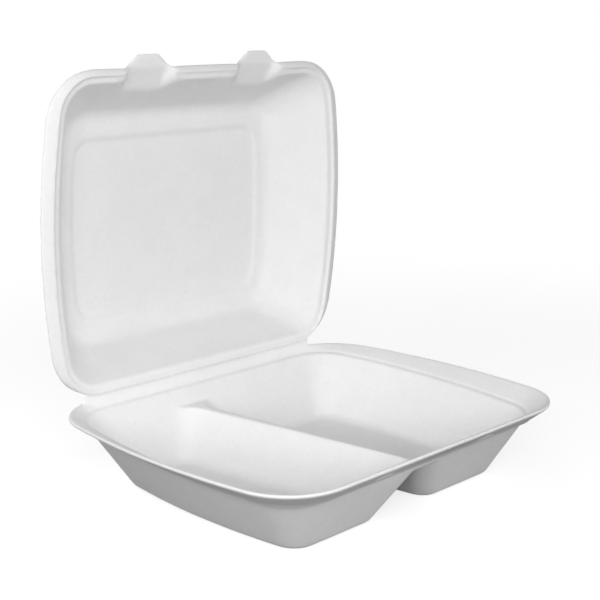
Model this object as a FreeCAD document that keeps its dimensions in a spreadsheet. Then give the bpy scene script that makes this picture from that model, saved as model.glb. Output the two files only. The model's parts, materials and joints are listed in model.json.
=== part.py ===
import FreeCAD, Part
import math
import os
import Sketcher

from FreeCAD import Placement, Rotation, Vector

# A two-compartment clamshell of moulded sugar-cane pulp. One thin sheet makes the base, the
# hinge strip and the lid. Both trays are drafted: every wall is a ruled skin between a rounded
# outline at the floor and a larger one at the rim.
#
# Frame: +Z up, millimetres. X runs along the hinge and -Y is the front with the locking tabs.

SIZES = {
    # pulp sheet
    "sheet_up": 1.6,          # floors, panels and flanges, measured upright
    "sheet_across": 1.9,      # sloping walls, measured level
    "foot_inset": 0.9,        # from the outer to the inner foot of a sloping wall
    # rim of the base
    "half_width": 120.0,
    "front_reach": 100.0,
    "hinge_reach": 89.2,      # from the middle of the base back to the fold line
    "rim_height": 43.0,
    "rim_corner": 36.0,
    "side_bow": 420.0,        # radius of the long bowed sides
    # flange, which rises outward from the mouth of the tray to the rim
    "flange_width": 11.0,
    "front_flange": 12.0,
    "back_flange": 0.3,       # at the back it stands almost upright and carries the hinge
    "flange_rise": 5.7,       # its rise half way along the tray
    "rim_land": 1.5,          # level edge of the flange
    # mouth of the tray, a small step and a ledge; it falls toward the front
    "mouth_tilt": 1.5,
    "step_draft": 0.6,
    "step_rise": 1.3,
    "ledge_width": 2.2,
    # floor of the base
    "side_spread": 23.6,
    "front_spread": 17.5,
    "back_spread": 22.6,
    "floor_corner": 13.0,
    "floor_round": 8.0,
    "foot_round": 5.0,
    # ridge between the two compartments
    "ridge_shift": -9.0,      # its line crosses the X axis here
    "ridge_angle": 7.5,       # and leans this much off the Y axis
    "ridge_height": 29.0,
    "ridge_foot": 19.0,       # half the width of the groove below it
    "ridge_lean": 0.66,       # spread of its slopes for each millimetre of height
    "ridge_corner": 11.0,
    "ridge_corner_top": 13.0,
    # lid, an open tray that nests in the flange of the base
    "lid_seat": 5.6,          # its edge lies this far out over the flange
    "lid_front_seat": 7.0,
    "lid_depth": 33.0,
    "lid_flange": 6.9,
    "lid_front_flange": 3.4,
    "lid_back_flange": 1.2,
    "lid_flange_rise": 2.6,
    "lid_step_draft": 1.0,
    "lid_step_drop": 2.0,
    "lid_ledge": 3.0,
    "lid_side_spread": 24.0,
    "lid_front_spread": 20.7,
    "lid_back_spread": 15.3,
    "lid_floor_corner": 15.0,
    "lid_floor_round": 10.0,
    "lid_foot_round": 8.0,
    # raised panel on the lid
    "panel_side": 6.5,
    "panel_front": 13.0,
    "panel_back": 11.5,
    "panel_corner": 10.0,
    "panel_rise": 1.6,
    "panel_draft": 3.0,
    # living hinge: a strip on the lid that folds over the back of the base
    "hinge_half": 90.0,
    "hinge_lift": 0.2,        # the fold line lies this far above the rim
    "hinge_sheet": 1.0,
    "hinge_gap": 0.3,
    "lid_raise": 3.6,
    "lid_angle": 88.0,
    # locking tabs and their slots
    "tab_offset": 41.0,
    "tab_root": 31.0,
    "tab_tip": 15.0,
    "tab_round": 4.0,
    "tab_reach": 7.5,
    "tab_drop": 0.9,          # the tab's face lies this far below the edge of the flange
    "tab_slope": 1.0,         # and falls this much more from tip to root
    "trough_half": 13.0,      # half the width of the trough behind each tab, at its bottom
    "trough_spread": 6.0,     # its sides lean out by this much
    "trough_length": 15.0,
    "trough_fall": 8.0,
    "slot_length": 13.0,
    "slot_width": 2.0,
    "slot_inset": 6.4,
}

doc = FreeCAD.newDocument("clamshell")
sheet = doc.addObject("Spreadsheet::Sheet", "Sizes")
for row, (alias, number) in enumerate(SIZES.items(), start=1):
    sheet.set("A%d" % row, alias)
    sheet.set("B%d" % row, str(number))
    sheet.setAlias("B%d" % row, alias)
doc.recompute()


class Span:
    """A sum of named sizes, known both as a number and as an expression."""

    def __init__(self, *names):
        self.names = names

    def plus(self, *names):
        return Span(*self.names, *names)

    @property
    def number(self):
        total = 0.0
        for name in self.names:
            sign = -1.0 if name.startswith("-") else 1.0
            total += sign * float(sheet.get(name.lstrip("-")))
        return total

    @property
    def text(self):
        words = ["0"]
        for name in self.names:
            sign = " - " if name.startswith("-") else " + "
            words.append(sign + "Sizes." + name.lstrip("-"))
        return "".join(words)


class Ring:
    """A rounded outline: half width, reach to -Y and to +Y, corner radius and height over the X axis."""

    def __init__(self, half, low, high, corner, height, tilt=Span()):
        self.half = half
        self.low = low
        self.high = high
        self.corner = corner
        self.height = height
        self.tilt = tilt

    def moved(self, across, low, high, up, corner=()):
        """The same outline grown by named sizes; growth of the corner follows the width."""
        return Ring(self.half.plus(*across), self.low.plus(*low), self.high.plus(*high),
                    self.corner.plus(*(corner or across)), self.height.plus(*up), self.tilt)


def bind(sketch, name, text):
    sketch.setExpression("Constraints." + name, text)


def dimension(sketch, kind, places, number, name, text):
    """Add a named dimension to a sketch and bind it to the sheet."""
    index = sketch.addConstraint(Sketcher.Constraint(kind, *places, number))
    sketch.renameConstraint(index, name)
    bind(sketch, name, text)


def arc(centre, start, end):
    """The arc about a centre, counter-clockwise from one point to another."""
    radius = (start - centre).Length
    first = math.atan2(start.y - centre.y, start.x - centre.x)
    last = math.atan2(end.y - centre.y, end.x - centre.x)
    return Part.ArcOfCircle(Part.Circle(centre, Vector(0, 0, 1), radius), first, last)


class Outline:
    """Where the arcs and lines of a ring lie: right-hand half, mirrored for the left."""

    def __init__(self, ring):
        self.bow = Span("side_bow").number
        self.half = ring.half.number
        self.low = -ring.low.number
        self.high = ring.high.number
        self.corner = ring.corner.number
        self.middle = (self.low + self.high) / 2
        self.side = Vector(self.half - self.bow, self.middle, 0)

    def corner_centre(self, level):
        """Centre of the corner arc whose centre lies at this Y."""
        rise = level - self.middle
        return Vector(self.side.x + math.sqrt((self.bow - self.corner) ** 2 - rise ** 2), level, 0)

    def touch(self, centre):
        """Where the corner arc about this centre meets the bowed side."""
        return self.side + (centre - self.side).normalize() * self.bow

    def right_side(self):
        """Points of the right-hand side, from front to back, with the two corner centres."""
        low = self.corner_centre(self.low + self.corner)
        high = self.corner_centre(self.high - self.corner)
        start = Vector(low.x, self.low, 0)
        end = Vector(high.x, self.high, 0)
        return start, low, self.touch(low), self.touch(high), high, end


def mirrored(point):
    return Vector(-point.x, point.y, 0)


def new_sketch(name, ring):
    """An empty sketch at a ring's height, turned about the X axis by the ring's tilt."""
    sketch = doc.addObject("Sketcher::SketchObject", name)
    turn = Rotation(Vector(1, 0, 0), ring.tilt.number)
    sketch.Placement = Placement(Vector(0, 0, ring.height.number), turn)
    sketch.setExpression("Placement.Base.z", ring.height.text)
    if ring.tilt.names:
        sketch.setExpression("Placement.Rotation.Angle", "(%s) * 1 deg" % ring.tilt.text)
    return sketch


def join_all(sketch, count):
    """Join each curve of a closed chain smoothly to the next."""
    for index in range(count):
        sketch.addConstraint(Sketcher.Constraint("Tangent", index, 2, (index + 1) % count, 1))


def level_line(sketch, index, number, name, span, below):
    """Hold a level line at a distance from the X axis."""
    sketch.addConstraint(Sketcher.Constraint("Horizontal", index))
    places = (index, 1, -1, 1) if below else (-1, 1, index, 1)
    dimension(sketch, "DistanceY", places, number, name, span.text)


def bowed_side(sketch, index, ring, outline, name, right):
    """Hold a bowed side: its radius and the place of its centre."""
    dimension(sketch, "Radius", (index,), outline.bow, name + "_bow", "Sizes.side_bow")
    places = (index, 3, -1, 1) if right else (-1, 1, index, 3)
    text = "Sizes.side_bow - (%s)" % ring.half.text
    dimension(sketch, "DistanceX", places, outline.bow - outline.half, name + "_centre_x", text)
    text = "((%s) - (%s)) / 2" % (ring.high.text, ring.low.text)
    dimension(sketch, "DistanceY", (-1, 1, index, 3), outline.middle, name + "_centre_y", text)


def ring_sketch(name, ring):
    """A whole rounded outline: two level lines, two bowed sides and four corner arcs."""
    sketch = new_sketch(name, ring)
    outline = Outline(ring)
    start, low, first, last, high, end = outline.right_side()
    sketch.addGeometry([
        Part.LineSegment(mirrored(start), start),
        arc(low, start, first),
        arc(outline.side, first, last),
        arc(high, last, end),
        Part.LineSegment(end, mirrored(end)),
        arc(mirrored(high), mirrored(end), mirrored(last)),
        arc(mirrored(outline.side), mirrored(last), mirrored(first)),
        arc(mirrored(low), mirrored(first), mirrored(start)),
    ], False)
    join_all(sketch, 8)
    level_line(sketch, 0, -outline.low, "low", ring.low, True)
    level_line(sketch, 4, outline.high, "high", ring.high, False)
    bowed_side(sketch, 2, ring, outline, "right", True)
    bowed_side(sketch, 6, ring, outline, "left", False)
    for index in (1, 3, 5, 7):
        dimension(sketch, "Radius", (index,), outline.corner, "corner_%d" % index, ring.corner.text)
    return sketch


class Divider:
    """The straight inner side of a compartment, leaning off the Y axis."""

    def __init__(self, offset, side, corner):
        self.side = side
        self.place = Span("ridge_shift").number + side * offset.number
        sign = " + " if side > 0 else " - "
        self.place_text = "Sizes.ridge_shift" + sign + "(" + offset.text + ")"
        self.corner = corner.number
        self.corner_text = corner.text
        self.lean = math.tan(math.radians(Span("ridge_angle").number))
        self.stretch = math.hypot(1.0, self.lean)

    def corner_centre(self, level):
        """Centre of the arc that rounds the divider into a level line."""
        along = self.place - self.lean * level
        return Vector(along + self.side * self.corner * self.stretch, level, 0)

    def foot(self, centre):
        """Where that arc meets the divider."""
        normal = Vector(1.0, self.lean, 0) / self.stretch
        return centre - normal * (self.corner * self.side)


class SlopedSpan:
    """A span that shrinks with height by a named lean."""

    def __init__(self, span, height):
        self.number = span.number - Span("ridge_lean").number * height.number
        self.text = "%s - Sizes.ridge_lean * (%s)" % (span.text, height.text)


def cup_sketch(name, ring, divider):
    """The outline of one compartment, on the side of the ridge that the divider gives."""
    sketch = new_sketch(name, ring)
    outline = Outline(ring)
    start, low, first, last, high, end = outline.right_side()
    front = divider.corner_centre(outline.low + divider.corner)
    back = divider.corner_centre(outline.high - divider.corner)
    front_end = Vector(front.x, outline.low, 0)
    back_end = Vector(back.x, outline.high, 0)
    if divider.side > 0:
        curves = [
            Part.LineSegment(front_end, start),
            arc(low, start, first),
            arc(outline.side, first, last),
            arc(high, last, end),
            Part.LineSegment(end, back_end),
            arc(back, back_end, divider.foot(back)),
            Part.LineSegment(divider.foot(back), divider.foot(front)),
            arc(front, divider.foot(front), front_end),
        ]
        bowed, inner, round_ends, outer_corners = 2, 6, (5, 7), (1, 3)
    else:
        curves = [
            Part.LineSegment(mirrored(start), front_end),
            arc(front, front_end, divider.foot(front)),
            Part.LineSegment(divider.foot(front), divider.foot(back)),
            arc(back, divider.foot(back), back_end),
            Part.LineSegment(back_end, mirrored(end)),
            arc(mirrored(high), mirrored(end), mirrored(last)),
            arc(mirrored(outline.side), mirrored(last), mirrored(first)),
            arc(mirrored(low), mirrored(first), mirrored(start)),
        ]
        bowed, inner, round_ends, outer_corners = 6, 2, (1, 3), (5, 7)
    sketch.addGeometry(curves, False)
    point = sketch.addGeometry(Part.Point(Vector(divider.place, 0, 0)), True)
    join_all(sketch, 8)
    level_line(sketch, 0, -outline.low, "low", ring.low, True)
    level_line(sketch, 4, outline.high, "high", ring.high, False)
    bowed_side(sketch, bowed, ring, outline, "side", divider.side > 0)
    for index in outer_corners:
        dimension(sketch, "Radius", (index,), outline.corner, "corner_%d" % index, ring.corner.text)
    for index in round_ends:
        dimension(sketch, "Radius", (index,), divider.corner, "round_%d" % index, divider.corner_text)
    sketch.addConstraint(Sketcher.Constraint("PointOnObject", point, 1, -1))
    dimension(sketch, "DistanceX", (-1, 1, point, 1), divider.place, "place", divider.place_text)
    sketch.addConstraint(Sketcher.Constraint("PointOnObject", point, 1, inner))
    turn = Span("ridge_angle").number + (-90.0 if divider.side > 0 else 90.0)
    text = "Sizes.ridge_angle * 1 deg " + ("- 90 deg" if divider.side > 0 else "+ 90 deg")
    dimension(sketch, "Angle", (inner,), math.radians(turn), "lean", text)
    return sketch


def loft(name, sections):
    solid = doc.addObject("Part::Loft", name)
    solid.Sections = sections
    solid.Solid = True
    solid.Ruled = True
    return solid


def ring_loft(name, rings):
    sketches = [ring_sketch("%s_%d" % (name, index), ring) for index, ring in enumerate(rings)]
    return loft(name, sketches)


def box(name, low, high):
    """A box between two corners given as expressions of the sheet."""
    block = doc.addObject("Part::Box", name)
    for axis, side, first, last in zip("xyz", ("Length", "Width", "Height"), low, high):
        block.setExpression("Placement.Base." + axis, first)
        block.setExpression(side, "(%s) - (%s)" % (last, first))
    return block


def boolean(kind, name, *parts):
    result = doc.addObject("Part::" + kind, name)
    if kind in ("Cut", "Common"):
        result.Base, result.Tool = parts
    else:
        result.Shapes = list(parts)
    return result


def rounded(name, source, size, picks):
    """Round the edges of a solid that the test picks out."""
    doc.recompute()
    radius = Span(size).number
    edges = source.Shape.Edges
    chosen = [(index + 1, radius, radius) for index, edge in enumerate(edges) if picks(edge)]
    result = doc.addObject("Part::Fillet", name)
    result.Base = source
    result.Edges = chosen
    return result


def at_height(span):
    """A test for edges that lie level at one height."""
    height = span.number
    return lambda edge: max(abs(edge.BoundBox.ZMin - height), abs(edge.BoundBox.ZMax - height)) < 0.01


# ---- outlines of the base, from the rim inward ----

ZERO = Span()
RIM = Ring(Span("half_width"), Span("front_reach"), Span("hinge_reach", "hinge_sheet", "rim_land"),
           Span("rim_corner"), Span("rim_height"))
ROOT = Ring(Span("half_width", "-flange_width"), Span("front_reach", "-front_flange"),
            Span("hinge_reach", "-hinge_sheet", "-back_flange"), Span("rim_corner", "-flange_width"),
            Span("rim_height", "-flange_rise"), Span("mouth_tilt"))
STEP = ROOT.moved(["-step_draft"], ["-step_draft"], ["-step_draft"], ["-step_rise"])
WALL = STEP.moved(["-ledge_width"], ["-ledge_width"], ["-ledge_width"], [])
OUTER_WALL = WALL.moved(["sheet_across"], ["sheet_across"], ["sheet_across"], [])
FLOOR = Ring(OUTER_WALL.half.plus("-side_spread"), OUTER_WALL.low.plus("-front_spread"),
             OUTER_WALL.high.plus("-back_spread"), Span("floor_corner"), ZERO)
INNER_FLOOR = FLOOR.moved(["-foot_inset"], ["-foot_inset"], ["-foot_inset"], ["sheet_up"])


def compartment(name, side, foot_ring, top_ring, foot):
    """One drafted cup beside the ridge."""
    foot_span = SlopedSpan(foot, foot_ring.height)
    top_span = SlopedSpan(foot, top_ring.height)
    low = cup_sketch(name + "_floor", foot_ring, Divider(foot_span, side, Span("ridge_corner")))
    high = cup_sketch(name + "_top", top_ring, Divider(top_span, side, Span("ridge_corner_top")))
    return loft(name, [low, high])


def tub(name, foot_ring, top_ring, foot, saddle, blend):
    """Both cups, open to each other above the saddle."""
    cups = []
    for side, word in ((-1, "left"), (1, "right")):
        cup = compartment("%s_%s" % (name, word), side, foot_ring, top_ring, foot)
        cups.append(rounded(cup.Name + "_round", cup, blend, at_height(foot_ring.height)))
    whole = ring_loft(name + "_whole", [foot_ring, top_ring])
    reach = "Sizes.half_width + Sizes.front_reach"
    above = box(name + "_above", ["-(%s)" % reach, "-(%s)" % reach, saddle.text],
                [reach, reach, "Sizes.rim_height"])
    bridge = boolean("Common", name + "_bridge", whole, above)
    return boolean("MultiFuse", name, bridge, *cups)


def base_rim_outside():
    """The underside of ledge, step and flange, as a solid up to the rim."""
    shoulder = STEP.moved(["sheet_across"], ["sheet_across"], ["sheet_across"], ["-sheet_up"])
    below_root = ROOT.moved(["sheet_across"], ["sheet_across"], ["sheet_across"], ["-sheet_up"])
    below_rim = RIM.moved([], [], [], ["-sheet_up"])
    return ring_loft("rim_outside", [shoulder, below_root, below_rim, RIM])


def base_rim_inside():
    """The hollow above ledge, step and flange."""
    crest = RIM.moved(["-rim_land"], ["-rim_land"], ["-rim_land"], [])
    over = crest.moved([], [], [], ["flange_rise"])
    return ring_loft("rim_inside", [STEP, ROOT, crest, over])


def slot(name, side):
    """A slit in the front flange that takes one locking tab."""
    middle = "%d * Sizes.tab_offset" % side
    front = "-Sizes.front_reach + Sizes.slot_inset"
    low = [middle + " - Sizes.slot_length / 2", front, "Sizes.ridge_height"]
    high = [middle + " + Sizes.slot_length / 2", front + " + Sizes.slot_width", "Sizes.rim_height"]
    return box(name, low, high)


def make_base():
    foot = Span("ridge_foot")
    outside = tub("outside", FLOOR, OUTER_WALL, foot, Span("ridge_height", "-sheet_up"), "foot_round")
    inner_foot = Span("ridge_foot", "sheet_across")
    inside = tub("inside", INNER_FLOOR, WALL, inner_foot, Span("ridge_height"), "floor_round")
    full = boolean("MultiFuse", "base_full", outside, base_rim_outside())
    end = "Sizes.hinge_half + Sizes.hinge_gap"
    back = "Sizes.hinge_reach + Sizes.rim_corner"
    above = "Sizes.rim_height + Sizes.hinge_sheet"
    behind = box("hinge_back", ["-(%s)" % end, "Sizes.hinge_reach + Sizes.hinge_sheet / 2", "0"],
                 [end, back, above])
    over = box("hinge_top", ["-(%s)" % end, "Sizes.hinge_reach - Sizes.rim_corner",
                             "Sizes.rim_height + Sizes.hinge_lift - Sizes.hinge_sheet / 2 - Sizes.hinge_gap"],
               [end, back, above])
    hollow = boolean("MultiFuse", "base_hollow", inside, base_rim_inside(), behind, over,
                     slot("slot_left", -1), slot("slot_right", 1))
    return boolean("Cut", "base", full, hollow)


# ---- outlines of the lid: an open tray, mouth up, hinge edge on the X axis ----

LID_EDGE = Ring(Span("half_width", "-flange_width", "lid_seat"), ZERO,
                Span("hinge_reach", "-lid_raise", "front_reach", "-front_flange", "lid_front_seat"),
                Span("rim_corner", "-flange_width", "lid_seat"), ZERO)
LID_MOUTH = LID_EDGE.moved(["-lid_flange"], ["-lid_back_flange"], ["-lid_front_flange"],
                           ["lid_flange_rise"])
LID_STEP = LID_MOUTH.moved(["-lid_step_draft"], ["-lid_step_draft"], ["-lid_step_draft"],
                           ["-lid_step_drop"])
LID_WALL = LID_STEP.moved(["-lid_ledge"], ["-lid_ledge"], ["-lid_ledge"], [])
LID_FLOOR = Ring(LID_WALL.half.plus("-lid_side_spread"), LID_WALL.low.plus("-lid_back_spread"),
                 LID_WALL.high.plus("-lid_front_spread"), Span("lid_floor_corner"),
                 Span("-lid_depth"))
LID_FOOT = LID_FLOOR.moved(["foot_inset"], ["foot_inset"], ["foot_inset"], ["-sheet_up"])


def thicker(ring, *up):
    """A ring grown level by the sheet's thickness, and raised by named sizes."""
    return ring.moved(["sheet_across"], ["sheet_across"], ["sheet_across"], list(up))


def lid_rim():
    """The flange, which slopes away from the mouth, and the shoulder below it."""
    low_edge = LID_EDGE.moved([], [], [], ["-sheet_up"])
    over = ring_loft("lid_flange_over", [low_edge, LID_EDGE, LID_MOUTH])
    under = ring_loft("lid_flange_under", [low_edge, LID_MOUTH.moved([], [], [], ["-sheet_up"])])
    flange = boolean("Cut", "lid_flange_sheet", over, under)
    shoulder = ring_loft("lid_shoulder", [thicker(LID_STEP, "-sheet_up"),
                                          thicker(LID_MOUTH, "-sheet_up"), LID_MOUTH])
    return flange, shoulder


def lid_panel(name, ring):
    """The shallow panel pressed into the lid's floor."""
    edge = Ring(ring.half.plus("-panel_side"), ring.low.plus("-panel_back"),
                ring.high.plus("-panel_front"), Span("panel_corner", "panel_draft"), ring.height)
    deep = edge.moved(["-panel_draft"], ["-panel_draft"], ["-panel_draft"], ["-panel_rise"])
    return ring_loft(name, [deep, edge])


def lid_strip():
    """The hinge strip, which ends in a round bead on the fold line."""
    plate = box("strip_plate", ["-Sizes.hinge_half", "-Sizes.lid_raise", "-Sizes.hinge_sheet"],
                ["Sizes.hinge_half", "Sizes.lid_back_flange / 2", "0"])
    bead = doc.addObject("Part::Cylinder", "strip_bead")
    bead.Placement = Placement(Vector(), Rotation(Vector(0, 1, 0), 90))
    bead.setExpression("Radius", "Sizes.hinge_sheet / 2")
    bead.setExpression("Height", "2 * Sizes.hinge_half")
    bead.setExpression("Placement.Base.x", "-Sizes.hinge_half")
    bead.setExpression("Placement.Base.y", "-Sizes.lid_raise")
    bead.setExpression("Placement.Base.z", "-Sizes.hinge_sheet / 2")
    return plate, bead


def symmetric(sketch, first, last):
    """Mirror two points of a sketch about its upright axis."""
    sketch.addConstraint(Sketcher.Constraint("Symmetric", *first, *last, -2))


def polygon(sketch, corners):
    count = len(corners)
    for index, corner in enumerate(corners):
        sketch.addGeometry(Part.LineSegment(corner, corners[(index + 1) % count]), False)
    for index in range(count):
        sketch.addConstraint(Sketcher.Constraint("Coincident", index, 2, (index + 1) % count, 1))


def tab_outline(name, side):
    """A tongue with slanting sides, seen from above; its middle part is hidden in the trough."""
    outline = doc.addObject("Sketcher::SketchObject", name)
    outline.setExpression("Placement.Base.x", "%d * Sizes.tab_offset" % side)
    outline.setExpression("Placement.Base.y", LID_EDGE.high.text)
    outline.setExpression("Placement.Base.z", "-Sizes.lid_depth")
    root = Span("tab_root").number / 2
    tip = Span("tab_tip").number / 2
    reach = Span("tab_reach").number
    inner = -Span("trough_length").number
    polygon(outline, [Vector(-root, inner, 0), Vector(root, inner, 0), Vector(root, 0, 0),
                      Vector(tip, reach, 0), Vector(-tip, reach, 0), Vector(-root, 0, 0)])
    for first, last in (((0, 1), (0, 2)), ((1, 2), (5, 1)), ((3, 1), (3, 2))):
        symmetric(outline, first, last)
    outline.addConstraint(Sketcher.Constraint("Vertical", 1))
    outline.addConstraint(Sketcher.Constraint("PointOnObject", 1, 2, -1))
    dimension(outline, "DistanceX", (0, 1, 0, 2), 2 * root, "root", "Sizes.tab_root")
    dimension(outline, "DistanceX", (3, 2, 3, 1), 2 * tip, "tip", "Sizes.tab_tip")
    dimension(outline, "DistanceY", (-1, 1, 3, 1), reach, "reach", "Sizes.tab_reach")
    dimension(outline, "DistanceY", (0, 1, -1, 1), -inner, "inner", "Sizes.trough_length")
    return outline


def tab_corners(edge):
    """The upright edges at the corners of a tab's tip."""
    upright = abs(edge.BoundBox.XLength) + abs(edge.BoundBox.YLength) < 0.01
    return upright and abs(edge.BoundBox.YMin - LID_EDGE.high.plus("tab_reach").number) < 0.01


def trough_section(name, side, place, floor, grown):
    """A trapezoid across the trough: its place along the lid, its floor and what it grows by."""
    section = doc.addObject("Sketcher::SketchObject", name)
    section.Placement = Placement(Vector(), Rotation(Vector(1, 0, 0), 90))
    section.setExpression("Placement.Base.x", "%d * Sizes.tab_offset" % side)
    section.setExpression("Placement.Base.y", place.text)
    bottom = Span("trough_half", *grown)
    top = bottom.plus("trough_spread")
    low = floor.plus(*["-" + name for name in grown])
    high = Span("lid_flange_rise", "sheet_up")
    polygon(section, [Vector(-bottom.number, low.number, 0), Vector(bottom.number, low.number, 0),
                      Vector(top.number, high.number, 0), Vector(-top.number, high.number, 0)])
    symmetric(section, (0, 1), (0, 2))
    symmetric(section, (2, 1), (2, 2))
    dimension(section, "DistanceX", (-1, 1, 0, 2), bottom.number, "bottom", bottom.text)
    dimension(section, "DistanceX", (-1, 1, 2, 1), top.number, "top", top.text)
    dimension(section, "DistanceY", (0, 1, -1, 1), -low.number, "low", "-(%s)" % low.text)
    dimension(section, "DistanceY", (-1, 1, 2, 1), high.number, "high", high.text)
    return section


def trough(name, side, grown):
    """The hollow that runs from the tip of a tab, over the flange, into the lid's wall."""
    tip_floor = Span("-tab_drop")
    root_floor = tip_floor.plus("-tab_slope")
    places = [(LID_EDGE.high.plus("tab_reach", "sheet_up"), tip_floor),
              (LID_EDGE.high, root_floor),
              (LID_EDGE.high.plus("-trough_length"), root_floor.plus("-trough_fall"))]
    return loft(name, [trough_section("%s_%d" % (name, index), side, place, floor, grown)
                       for index, (place, floor) in enumerate(places)])


def tab(side, under_flange):
    """One locking tab with the trough behind it: its solid and the hollow above it."""
    name = "tab_right" if side > 0 else "tab_left"
    prism = doc.addObject("Part::Extrusion", name + "_prism")
    prism.Base = tab_outline(name + "_outline", side)
    prism.DirMode = "Custom"
    prism.Dir = Vector(0, 0, 1)
    prism.setExpression("LengthFwd", "Sizes.lid_depth - Sizes.tab_drop")
    prism.Solid = True
    tip = rounded(name + "_tip", prism, "tab_round", tab_corners)
    reach = boolean("MultiFuse", name + "_reach", tip, under_flange)
    tongue = boolean("Common", name, reach, trough(name + "_outer", side, ["sheet_up"]))
    return tongue, trough(name + "_inner", side, [])


def make_lid():
    tray = ring_loft("lid_tray", [LID_FOOT, thicker(LID_WALL)])
    tray_round = rounded("lid_tray_round", tray, "lid_foot_round", at_height(LID_FOOT.height))
    hollow = ring_loft("lid_hollow", [LID_FLOOR, LID_WALL])
    hollow_round = rounded("lid_hollow_round", hollow, "lid_floor_round", at_height(LID_FLOOR.height))
    mouth = ring_loft("lid_mouth", [LID_STEP, LID_MOUTH])
    under_flange = ring_loft("lid_under", [LID_EDGE.moved([], [], [], ["-lid_depth"]), LID_EDGE,
                                           LID_MOUTH])
    left_tongue, left_trough = tab(-1, under_flange)
    right_tongue, right_trough = tab(1, under_flange)
    full = boolean("MultiFuse", "lid_full", tray_round, *lid_rim(), *lid_strip(),
                   lid_panel("panel_outside", LID_FOOT), left_tongue, right_tongue)
    cavity = boolean("MultiFuse", "lid_cavity", hollow_round, mouth,
                     lid_panel("panel_inside", LID_FLOOR), left_trough, right_trough)
    lid = boolean("Cut", "lid", full, cavity)
    turn = Rotation(Vector(1, 0, 0), 180.0 - Span("lid_angle").number)
    bead = Vector(0, -Span("lid_raise").number, -Span("hinge_sheet").number / 2)
    fold = Vector(0, Span("hinge_reach").number, Span("rim_height", "hinge_lift").number)
    lid.Placement = Placement(fold - turn.multVec(bead), turn)
    return lid


def settle(parts):
    """Put the origin under the middle of the whole part."""
    doc.recompute()
    bounds = FreeCAD.BoundBox()
    for part in parts:
        bounds.add(part.Shape.BoundBox)
    for part in parts:
        place = part.Placement
        part.Placement = Placement(place.Base - Vector(0, bounds.Center.y, 0), place.Rotation)
    doc.recompute()
    return bounds.Center.y


base = make_base()
lid = make_lid()
back_shift = settle([base, lid])
print("fold line at y %.4f z %.4f" % (Span("hinge_reach").number - back_shift,
                                      Span("rim_height", "hinge_lift").number))

for thing in doc.Objects:
    if "Invalid" in thing.State or "Error" in thing.State:
        raise RuntimeError("%s failed: %s" % (thing.Name, thing.State))

os.makedirs("parts", exist_ok=True)
for part in (base, lid):
    shape = part.Shape
    if shape.isNull() or not shape.isValid() or len(shape.Solids) != 1:
        raise RuntimeError("%s is not one valid solid" % part.Label)
    print(part.Label, "volume %.0f" % shape.Volume, shape.BoundBox)
    shape.exportStep("parts/%s.step" % part.Label)
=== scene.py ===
import json
import math

import bpy
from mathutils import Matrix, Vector, noise


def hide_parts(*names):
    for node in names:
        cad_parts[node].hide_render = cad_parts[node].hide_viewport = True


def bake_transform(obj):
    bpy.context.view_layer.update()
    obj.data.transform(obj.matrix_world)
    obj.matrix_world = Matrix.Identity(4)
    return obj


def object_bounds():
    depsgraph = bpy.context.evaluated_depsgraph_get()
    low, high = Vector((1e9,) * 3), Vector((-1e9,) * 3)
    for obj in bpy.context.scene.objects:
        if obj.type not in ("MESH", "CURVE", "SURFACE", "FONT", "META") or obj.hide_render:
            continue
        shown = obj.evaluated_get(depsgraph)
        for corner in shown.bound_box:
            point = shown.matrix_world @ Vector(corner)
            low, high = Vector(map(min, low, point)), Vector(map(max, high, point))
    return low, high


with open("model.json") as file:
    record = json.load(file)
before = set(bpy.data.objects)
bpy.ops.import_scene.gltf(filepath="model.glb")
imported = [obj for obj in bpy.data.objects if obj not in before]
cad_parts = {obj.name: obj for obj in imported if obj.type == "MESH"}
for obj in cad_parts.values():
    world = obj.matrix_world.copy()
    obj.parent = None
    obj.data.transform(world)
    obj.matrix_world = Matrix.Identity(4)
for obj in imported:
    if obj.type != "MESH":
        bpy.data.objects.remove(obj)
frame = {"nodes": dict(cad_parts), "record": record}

# A two-compartment food box of moulded sugar-cane pulp, lid open. The real thing is one sheet,
# so base, hinge strip and lid become one closed skin joined across the fold line.

CAD_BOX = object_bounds()
MILLIMETRE = 0.001

# the one skin
VOXEL = 0.45 * MILLIMETRE
SOFTEN_STEPS = 40                    # together they round a crease by about a millimetre
SOFTEN_FACTOR = 0.5
SKIN_TRIANGLES = 190000
STRIP_THICKNESS = 1.0 * MILLIMETRE   # of the short piece that bridges the gap at the fold
STRIP_OVERLAP = 2.2 * MILLIMETRE     # it reaches this far above and below the fold line
STRIP_HALF = 90.0 * MILLIMETRE       # half its length along the fold

# the locking tabs and the troughs behind them, which are softer than the rest
TAB_OFFSET = 41.0 * MILLIMETRE       # from the middle of the lid to the middle of a tab
TAB_ZONE_HALF = 24.0 * MILLIMETRE
TAB_ZONE_FADE = 5.0 * MILLIMETRE
TAB_ZONE = (-8.0 * MILLIMETRE, 18.0 * MILLIMETRE)      # depths below the tips of the tabs
TAB_SOFTEN_STEPS = 40
TROUGH_ZONE = (10.0 * MILLIMETRE, 40.0 * MILLIMETRE)   # likewise
TROUGH_SOFTEN_STEPS = 300

# unevenness of the dried sheet: long waves with ripples on them
WAVE_LENGTH = 34.0 * MILLIMETRE
WAVE_HEIGHT = 0.12 * MILLIMETRE
RIPPLE_FREQUENCY = 2.3               # ripples to a wave
RIPPLE_SHARE = 0.5

# pulp colours
PULP_LIGHT = (0.846, 0.843, 0.846)
PULP_DARK = (0.828, 0.825, 0.829)
PULP_FLOCK = (0.782, 0.778, 0.782)
FIBRE_DARK = (0.68, 0.665, 0.65)
FIBRE_LIGHT = (0.9, 0.898, 0.896)
SPECK = (0.5, 0.45, 0.38)

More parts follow.
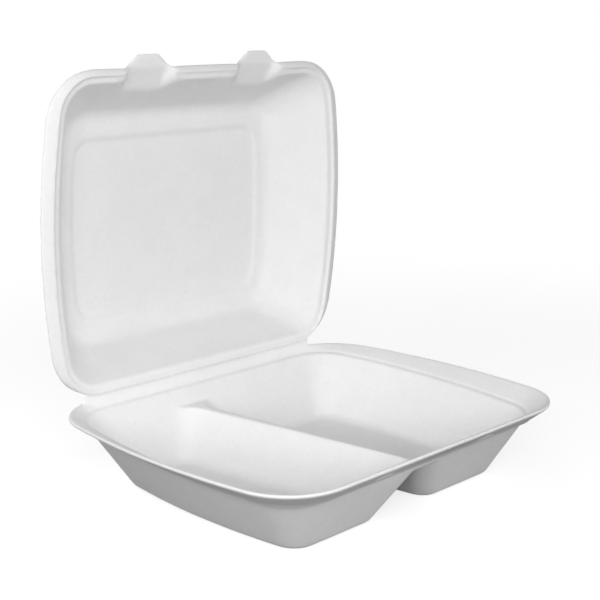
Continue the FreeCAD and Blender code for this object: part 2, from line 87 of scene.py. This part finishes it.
# pulp grain: scales are noise cells per metre, so 1000 is one cell a millimetre
CLOUD_SCALE = 70.0
FLOCK_SCALE = 420.0
FLOCK_STRENGTH = 0.25
FIBRE_SCALE = 330.0
FIBRE_WIDTH = 0.022                  # as a share of the noise's range
FIBRE_PATCH_SCALE = 260.0
FIBRE_DARK_STRENGTH = 0.3
FIBRE_LIGHT_STRENGTH = 0.35
SPECK_SCALE = 95.0
SPECK_RADIUS = (0.015, 0.035)        # full inside the first, gone beyond the second, in cells
SPECK_FREE = 0.93                    # this share of the cells has no speck
SPECK_STRENGTH = 0.22
GRAIN_SCALE = 1100.0
FELT_SCALE = 330.0
FELT_SHARE = 1.6
HAIR_SHARE = 0.25
BUMP_HEIGHT = 0.07 * MILLIMETRE
BUMP_STRENGTH = 0.5
ROUGHNESS = (0.74, 0.9)
SPECULAR = 0.3

# the floor as the camera sees it, and as the container's underside does
FLOOR_SIZE = 6.0                     # metres from its middle to an edge
FLOOR_COLOUR = (0.5, 0.5, 0.5)
FLOOR_GLOW = 0.7
FLOOR_FADE = (0.25, 0.7)             # metres from the container over which it turns white
FLOOR_BOUNCE = (0.07, 0.07, 0.073)

# light
WORLD_LIGHT = 0.15
LAMP_AIM = Vector((0, 0, 0.1))

# the photograph's viewpoint
CAMERA_AZIMUTH = -45.26
CAMERA_ELEVATION = 13.08
CAMERA_DISTANCE = 0.6728
CAMERA_AIM = Vector((-0.0141, -0.0962, 0.1058))   # Y is measured from the fold line
LENS = 75.0
SENSOR = 36.0

hinge = frame["record"]["behaviour"]["joints"][0]
fold = Vector(hinge["pos_m"])


# ---- geometry ----

def solid_box(name, low, high):
    """A closed box between two corners."""
    corners = [(x, y, z) for x in (low.x, high.x) for y in (low.y, high.y) for z in (low.z, high.z)]
    faces = [(0, 1, 3, 2), (4, 6, 7, 5), (0, 4, 5, 1), (2, 3, 7, 6), (0, 2, 6, 4), (1, 5, 7, 3)]
    mesh = bpy.data.meshes.new(name)
    mesh.from_pydata(corners, [], faces)
    mesh.update()
    return mesh


def hinge_bridge():
    """The length of strip that crosses the gap the CAD model keeps at the fold."""
    half = Vector((STRIP_HALF, STRIP_THICKNESS / 2, STRIP_OVERLAP))
    return solid_box("hinge_bridge", fold - half, fold + half)


def joined(name, meshes):
    """One object that holds several closed meshes."""
    objects = []
    for mesh in meshes:
        thing = bpy.data.objects.new(name, mesh)
        bpy.context.scene.collection.objects.link(thing)
        objects.append(thing)
    with bpy.context.temp_override(active_object=objects[0], selected_editable_objects=objects):
        bpy.ops.object.join()
    return objects[0]


def apply_modifier(thing, kind, **settings):
    """Add a modifier and make its result the object's own mesh."""
    modifier = thing.modifiers.new(kind.lower(), kind)
    for key, value in settings.items():
        setattr(modifier, key, value)
    graph = bpy.context.evaluated_depsgraph_get()
    mesh = bpy.data.meshes.new_from_object(thing.evaluated_get(graph))
    thing.modifiers.clear()
    thing.data = mesh


def triangle_count(mesh):
    mesh.calc_loop_triangles()
    return len(mesh.loop_triangles)


def inside(value, low, high):
    """1 well inside a range and 0 outside it, with a gradual change at both ends."""
    return min(max(min(value - low, high - value) / TAB_ZONE_FADE, 0.0), 1.0)


def soften_near_tabs(skin, zone, steps):
    """Smooth the lid's two tabs and their surroundings between two depths below the tips."""
    top = CAD_BOX[1][2]
    crisp = [vertex.co.copy() for vertex in skin.data.vertices]
    apply_modifier(skin, "SMOOTH", factor=SOFTEN_FACTOR, iterations=steps)
    for vertex, place in zip(skin.data.vertices, crisp):
        across = abs(place.x) - TAB_OFFSET
        share = min(inside(top - place.z, *zone), inside(across, -TAB_ZONE_HALF, TAB_ZONE_HALF))
        vertex.co = place.lerp(vertex.co, share)


def uneven(mesh):
    """Let the skin wander in and out a little, as a pressed and dried sheet does, within the CAD box."""
    low, high = CAD_BOX
    for vertex in mesh.vertices:
        place = vertex.co / WAVE_LENGTH
        shift = noise.noise_vector(place) + RIPPLE_SHARE * noise.noise_vector(place * RIPPLE_FREQUENCY)
        moved = vertex.co + shift * WAVE_HEIGHT
        vertex.co = [min(max(value, low[axis]), high[axis]) for axis, value in enumerate(moved)]
    mesh.update()


def pulp_skin():
    """Base, hinge strip and lid as one closed skin with softened edges."""
    sources = [frame["nodes"][name].data.copy() for name in ("base", "lid")]
    skin = joined("container_shell", sources + [hinge_bridge()])
    skin.name = "container_shell"
    apply_modifier(skin, "REMESH", mode="VOXEL", voxel_size=VOXEL)
    apply_modifier(skin, "SMOOTH", factor=SOFTEN_FACTOR, iterations=SOFTEN_STEPS)
    soften_near_tabs(skin, TAB_ZONE, TAB_SOFTEN_STEPS)
    soften_near_tabs(skin, TROUGH_ZONE, TROUGH_SOFTEN_STEPS)
    share = SKIN_TRIANGLES / triangle_count(skin.data)
    apply_modifier(skin, "DECIMATE", ratio=min(1.0, share))
    uneven(skin.data)
    for polygon in skin.data.polygons:
        polygon.use_smooth = True
    return skin


# ---- materials ----

def node_tree(name):
    material = bpy.data.materials.new(name)
    material.use_nodes = True
    material.node_tree.nodes.clear()
    return material, material.node_tree.nodes, material.node_tree.links


def noise_field(nodes, links, place, scale, detail, offset):
    """Cloudy noise in metres of the object, moved by an offset so that no two fields agree."""
    shifted = nodes.new("ShaderNodeVectorMath")
    shifted.operation = "ADD"
    shifted.inputs[1].default_value = offset
    links.new(place, shifted.inputs[0])
    field = nodes.new("ShaderNodeTexNoise")
    field.inputs["Scale"].default_value = scale
    field.inputs["Detail"].default_value = detail
    links.new(shifted.outputs["Vector"], field.inputs["Vector"])
    return field.outputs["Fac"]


def remap(nodes, links, value, source, target):
    """Stretch a range of values smoothly onto another."""
    step = nodes.new("ShaderNodeMapRange")
    step.interpolation_type = "SMOOTHSTEP"
    step.inputs["From Min"].default_value, step.inputs["From Max"].default_value = source
    step.inputs["To Min"].default_value, step.inputs["To Max"].default_value = target
    links.new(value, step.inputs["Value"])
    return step.outputs["Result"]


def combine(nodes, links, operation, first, second):
    """Join two values, or a value and a number, with one sum."""
    node = nodes.new("ShaderNodeMath")
    node.operation = operation
    for socket, item in zip(node.inputs, (first, second)):
        if isinstance(item, float):
            socket.default_value = item
        else:
            links.new(item, socket)
    return node.outputs[0]


def fibres(nodes, links, place, offset):
    """Short curling hairs: the places where a noise passes its middle value, cut up by another noise."""
    field = noise_field(nodes, links, place, FIBRE_SCALE, 1.0, offset)
    distance = combine(nodes, links, "ABSOLUTE", combine(nodes, links, "SUBTRACT", field, 0.5), 0.0)
    line = remap(nodes, links, distance, (0.0, FIBRE_WIDTH), (1.0, 0.0))
    patches = noise_field(nodes, links, place, FIBRE_PATCH_SCALE, 1.0, offset)
    return combine(nodes, links, "MULTIPLY", line, remap(nodes, links, patches, (0.5, 0.6), (0.0, 1.0)))


def mixed(nodes, links, amount, first, second):
    """Mix two colours, each a socket or a plain colour."""
    mix = nodes.new("ShaderNodeMix")
    mix.data_type = "RGBA"
    links.new(amount, mix.inputs["Factor"])
    for name, item in (("A", first), ("B", second)):
        socket = [entry for entry in mix.inputs if entry.name == name and entry.type == "RGBA"][0]
        if isinstance(item, tuple):
            socket.default_value = (*item, 1)
        else:
            links.new(item, socket)
    return [entry for entry in mix.outputs if entry.type == "RGBA"][0]


def specks(nodes, links, place):
    """Tiny round specks of bark, in a few cells only."""
    cells = nodes.new("ShaderNodeTexVoronoi")
    cells.inputs["Scale"].default_value = SPECK_SCALE
    links.new(place, cells.inputs["Vector"])
    chance = nodes.new("ShaderNodeSeparateColor")
    links.new(cells.outputs["Color"], chance.inputs["Color"])
    near = remap(nodes, links, cells.outputs["Distance"], SPECK_RADIUS, (1.0, 0.0))
    picked = combine(nodes, links, "GREATER_THAN", chance.outputs["Red"], SPECK_FREE)
    shown = combine(nodes, links, "MULTIPLY", near, picked)
    return combine(nodes, links, "MULTIPLY", shown, SPECK_STRENGTH)


def pulp_material():
    """Bleached pulp: faint clouds of tone, curling fibres, a few specks of bark and a felted surface."""
    material, nodes, links = node_tree("moulded_pulp")
    output = nodes.new("ShaderNodeOutputMaterial")
    shader = nodes.new("ShaderNodeBsdfPrincipled")
    links.new(shader.outputs["BSDF"], output.inputs["Surface"])
    shader.inputs["Specular IOR Level"].default_value = SPECULAR
    place = nodes.new("ShaderNodeTexCoord").outputs["Object"]

    clouds = noise_field(nodes, links, place, CLOUD_SCALE, 4.0, (0.0, 0.0, 0.0))
    tone = mixed(nodes, links, remap(nodes, links, clouds, (0.3, 0.7), (0.0, 1.0)), PULP_DARK, PULP_LIGHT)
    flocks = noise_field(nodes, links, place, FLOCK_SCALE, 3.0, (0.3, 0.1, 0.2))
    amount = remap(nodes, links, flocks, (0.35, 0.75), (0.0, FLOCK_STRENGTH))
    tone = mixed(nodes, links, amount, tone, PULP_FLOCK)

    dark_hairs = fibres(nodes, links, place, (0.11, 0.52, 0.23))
    light_hairs = fibres(nodes, links, place, (0.71, 0.13, 0.64))
    amount = combine(nodes, links, "MULTIPLY", dark_hairs, FIBRE_DARK_STRENGTH)
    tone = mixed(nodes, links, amount, tone, FIBRE_DARK)
    amount = combine(nodes, links, "MULTIPLY", light_hairs, FIBRE_LIGHT_STRENGTH)
    tone = mixed(nodes, links, amount, tone, FIBRE_LIGHT)
    tone = mixed(nodes, links, specks(nodes, links, place), tone, SPECK)
    links.new(tone, shader.inputs["Base Color"])

    rough = remap(nodes, links, flocks, (0.3, 0.7), ROUGHNESS)
    links.new(rough, shader.inputs["Roughness"])

    grain = noise_field(nodes, links, place, GRAIN_SCALE, 3.0, (0.4, 0.4, 0.1))
    felt = noise_field(nodes, links, place, FELT_SCALE, 3.0, (0.2, 0.6, 0.5))
    height = combine(nodes, links, "ADD", combine(nodes, links, "MULTIPLY", felt, FELT_SHARE), grain)
    hairs = combine(nodes, links, "ADD", dark_hairs, light_hairs)
    height = combine(nodes, links, "ADD", height, combine(nodes, links, "MULTIPLY", hairs, HAIR_SHARE))
    bump = nodes.new("ShaderNodeBump")
    bump.inputs["Strength"].default_value = BUMP_STRENGTH
    bump.inputs["Distance"].default_value = BUMP_HEIGHT
    links.new(height, bump.inputs["Height"])
    links.new(bump.outputs["Normal"], shader.inputs["Normal"])
    return material


def camera_rays(nodes, links):
    """1 for a ray from the camera or its mirror image, 0 for light that bounces."""
    path = nodes.new("ShaderNodeLightPath")
    total = path.outputs["Is Camera Ray"]
    for name in ("Is Glossy Ray", "Is Transmission Ray"):
        total = combine(nodes, links, "MAXIMUM", total, path.outputs[name])
    return total


def floor_material():
    """A pale floor that keeps the shadow, turns plain white far off and sends little light back up."""
    material, nodes, links = node_tree("studio_floor")
    output = nodes.new("ShaderNodeOutputMaterial")
    seen = nodes.new("ShaderNodeMixShader")
    links.new(camera_rays(nodes, links), seen.inputs["Fac"])
    bounced = nodes.new("ShaderNodeBsdfDiffuse")
    bounced.inputs["Color"].default_value = (*FLOOR_BOUNCE, 1)
    links.new(bounced.outputs["BSDF"], seen.inputs[1])

    pale = nodes.new("ShaderNodeBsdfDiffuse")
    pale.inputs["Color"].default_value = (*FLOOR_COLOUR, 1)
    glow = nodes.new("ShaderNodeEmission")
    glow.inputs["Strength"].default_value = FLOOR_GLOW
    near = nodes.new("ShaderNodeAddShader")
    links.new(pale.outputs["BSDF"], near.inputs[0])
    links.new(glow.outputs["Emission"], near.inputs[1])
    white = nodes.new("ShaderNodeEmission")
    distance = nodes.new("ShaderNodeVectorMath")
    distance.operation = "LENGTH"
    links.new(nodes.new("ShaderNodeTexCoord").outputs["Object"], distance.inputs[0])
    fade = nodes.new("ShaderNodeMixShader")
    links.new(remap(nodes, links, distance.outputs["Value"], FLOOR_FADE, (0.0, 1.0)), fade.inputs["Fac"])
    links.new(near.outputs["Shader"], fade.inputs[1])
    links.new(white.outputs["Emission"], fade.inputs[2])
    links.new(fade.outputs["Shader"], seen.inputs[2])
    links.new(seen.outputs["Shader"], output.inputs["Surface"])
    return material


# ---- studio ----

def floor():
    mesh = bpy.data.meshes.new("studio_floor")
    corners = [(x * FLOOR_SIZE, y * FLOOR_SIZE, 0) for x, y in ((-1, -1), (1, -1), (1, 1), (-1, 1))]
    mesh.from_pydata(corners, [], [(0, 1, 2, 3)])
    ground = bpy.data.objects.new("studio_floor", mesh)
    bpy.context.scene.collection.objects.link(ground)
    mesh.materials.append(floor_material())


def backdrop(strength):
    """White to the camera, plain soft light to everything else."""
    world = bpy.data.worlds.new("studio_world")
    bpy.context.scene.world = world
    world.use_nodes = True
    nodes, links = world.node_tree.nodes, world.node_tree.links
    nodes.clear()
    output = nodes.new("ShaderNodeOutputWorld")
    mix = nodes.new("ShaderNodeMixShader")
    soft = nodes.new("ShaderNodeBackground")
    soft.inputs["Strength"].default_value = strength
    white = nodes.new("ShaderNodeBackground")
    white.inputs["Strength"].default_value = 1.0
    white.inputs["Color"].default_value = (1, 1, 1, 1)
    soft.inputs["Color"].default_value = (1, 1, 1, 1)
    links.new(camera_rays(nodes, links), mix.inputs["Fac"])
    links.new(soft.outputs["Background"], mix.inputs[1])
    links.new(white.outputs["Background"], mix.inputs[2])
    links.new(mix.outputs["Shader"], output.inputs["Surface"])


def around(azimuth, elevation, distance):
    """A point seen from the origin: azimuth 0 lies toward -Y and 90 toward +X."""
    turn, lift = math.radians(azimuth), math.radians(elevation)
    level = math.cos(lift)
    return Vector((math.sin(turn) * level, -math.cos(turn) * level, math.sin(lift))) * distance


def soft_box(name, azimuth, elevation, distance, size, power):
    """A square lamp turned to the middle of the container."""
    lamp = bpy.data.lights.new(name, "AREA")
    lamp.shape = "SQUARE"
    lamp.size = size
    lamp.energy = power
    thing = bpy.data.objects.new(name, lamp)
    bpy.context.scene.collection.objects.link(thing)
    thing.location = LAMP_AIM + around(azimuth, elevation, distance)
    thing.rotation_euler = (LAMP_AIM - thing.location).to_track_quat("-Z", "Y").to_euler()


def camera():
    data = bpy.data.cameras.new("camera")
    data.lens = LENS
    data.sensor_width = SENSOR
    view = bpy.data.objects.new("camera", data)
    bpy.context.scene.collection.objects.link(view)
    aim = CAMERA_AIM + Vector((0, fold.y, 0))
    view.location = aim + around(CAMERA_AZIMUTH, CAMERA_ELEVATION, CAMERA_DISTANCE)
    view.rotation_euler = (aim - view.location).to_track_quat("-Z", "Y").to_euler()
    bpy.context.scene.camera = view


skin = pulp_skin()
skin.data.materials.clear()
skin.data.materials.append(pulp_material())
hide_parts("base", "lid")
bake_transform(skin)

floor()
backdrop(WORLD_LIGHT)
soft_box("key", azimuth=-45, elevation=19, distance=0.75, size=0.4, power=2.8)
soft_box("side", azimuth=-90, elevation=15, distance=0.72, size=0.4, power=1.9)
soft_box("front", azimuth=-8, elevation=13, distance=0.78, size=0.4, power=2.1)
soft_box("fill", azimuth=60, elevation=8, distance=1.5, size=0.9, power=4.0)
soft_box("back", azimuth=175, elevation=8, distance=1.5, size=0.9, power=13.0)
camera()
bpy.context.scene.view_settings.view_transform = "Standard"
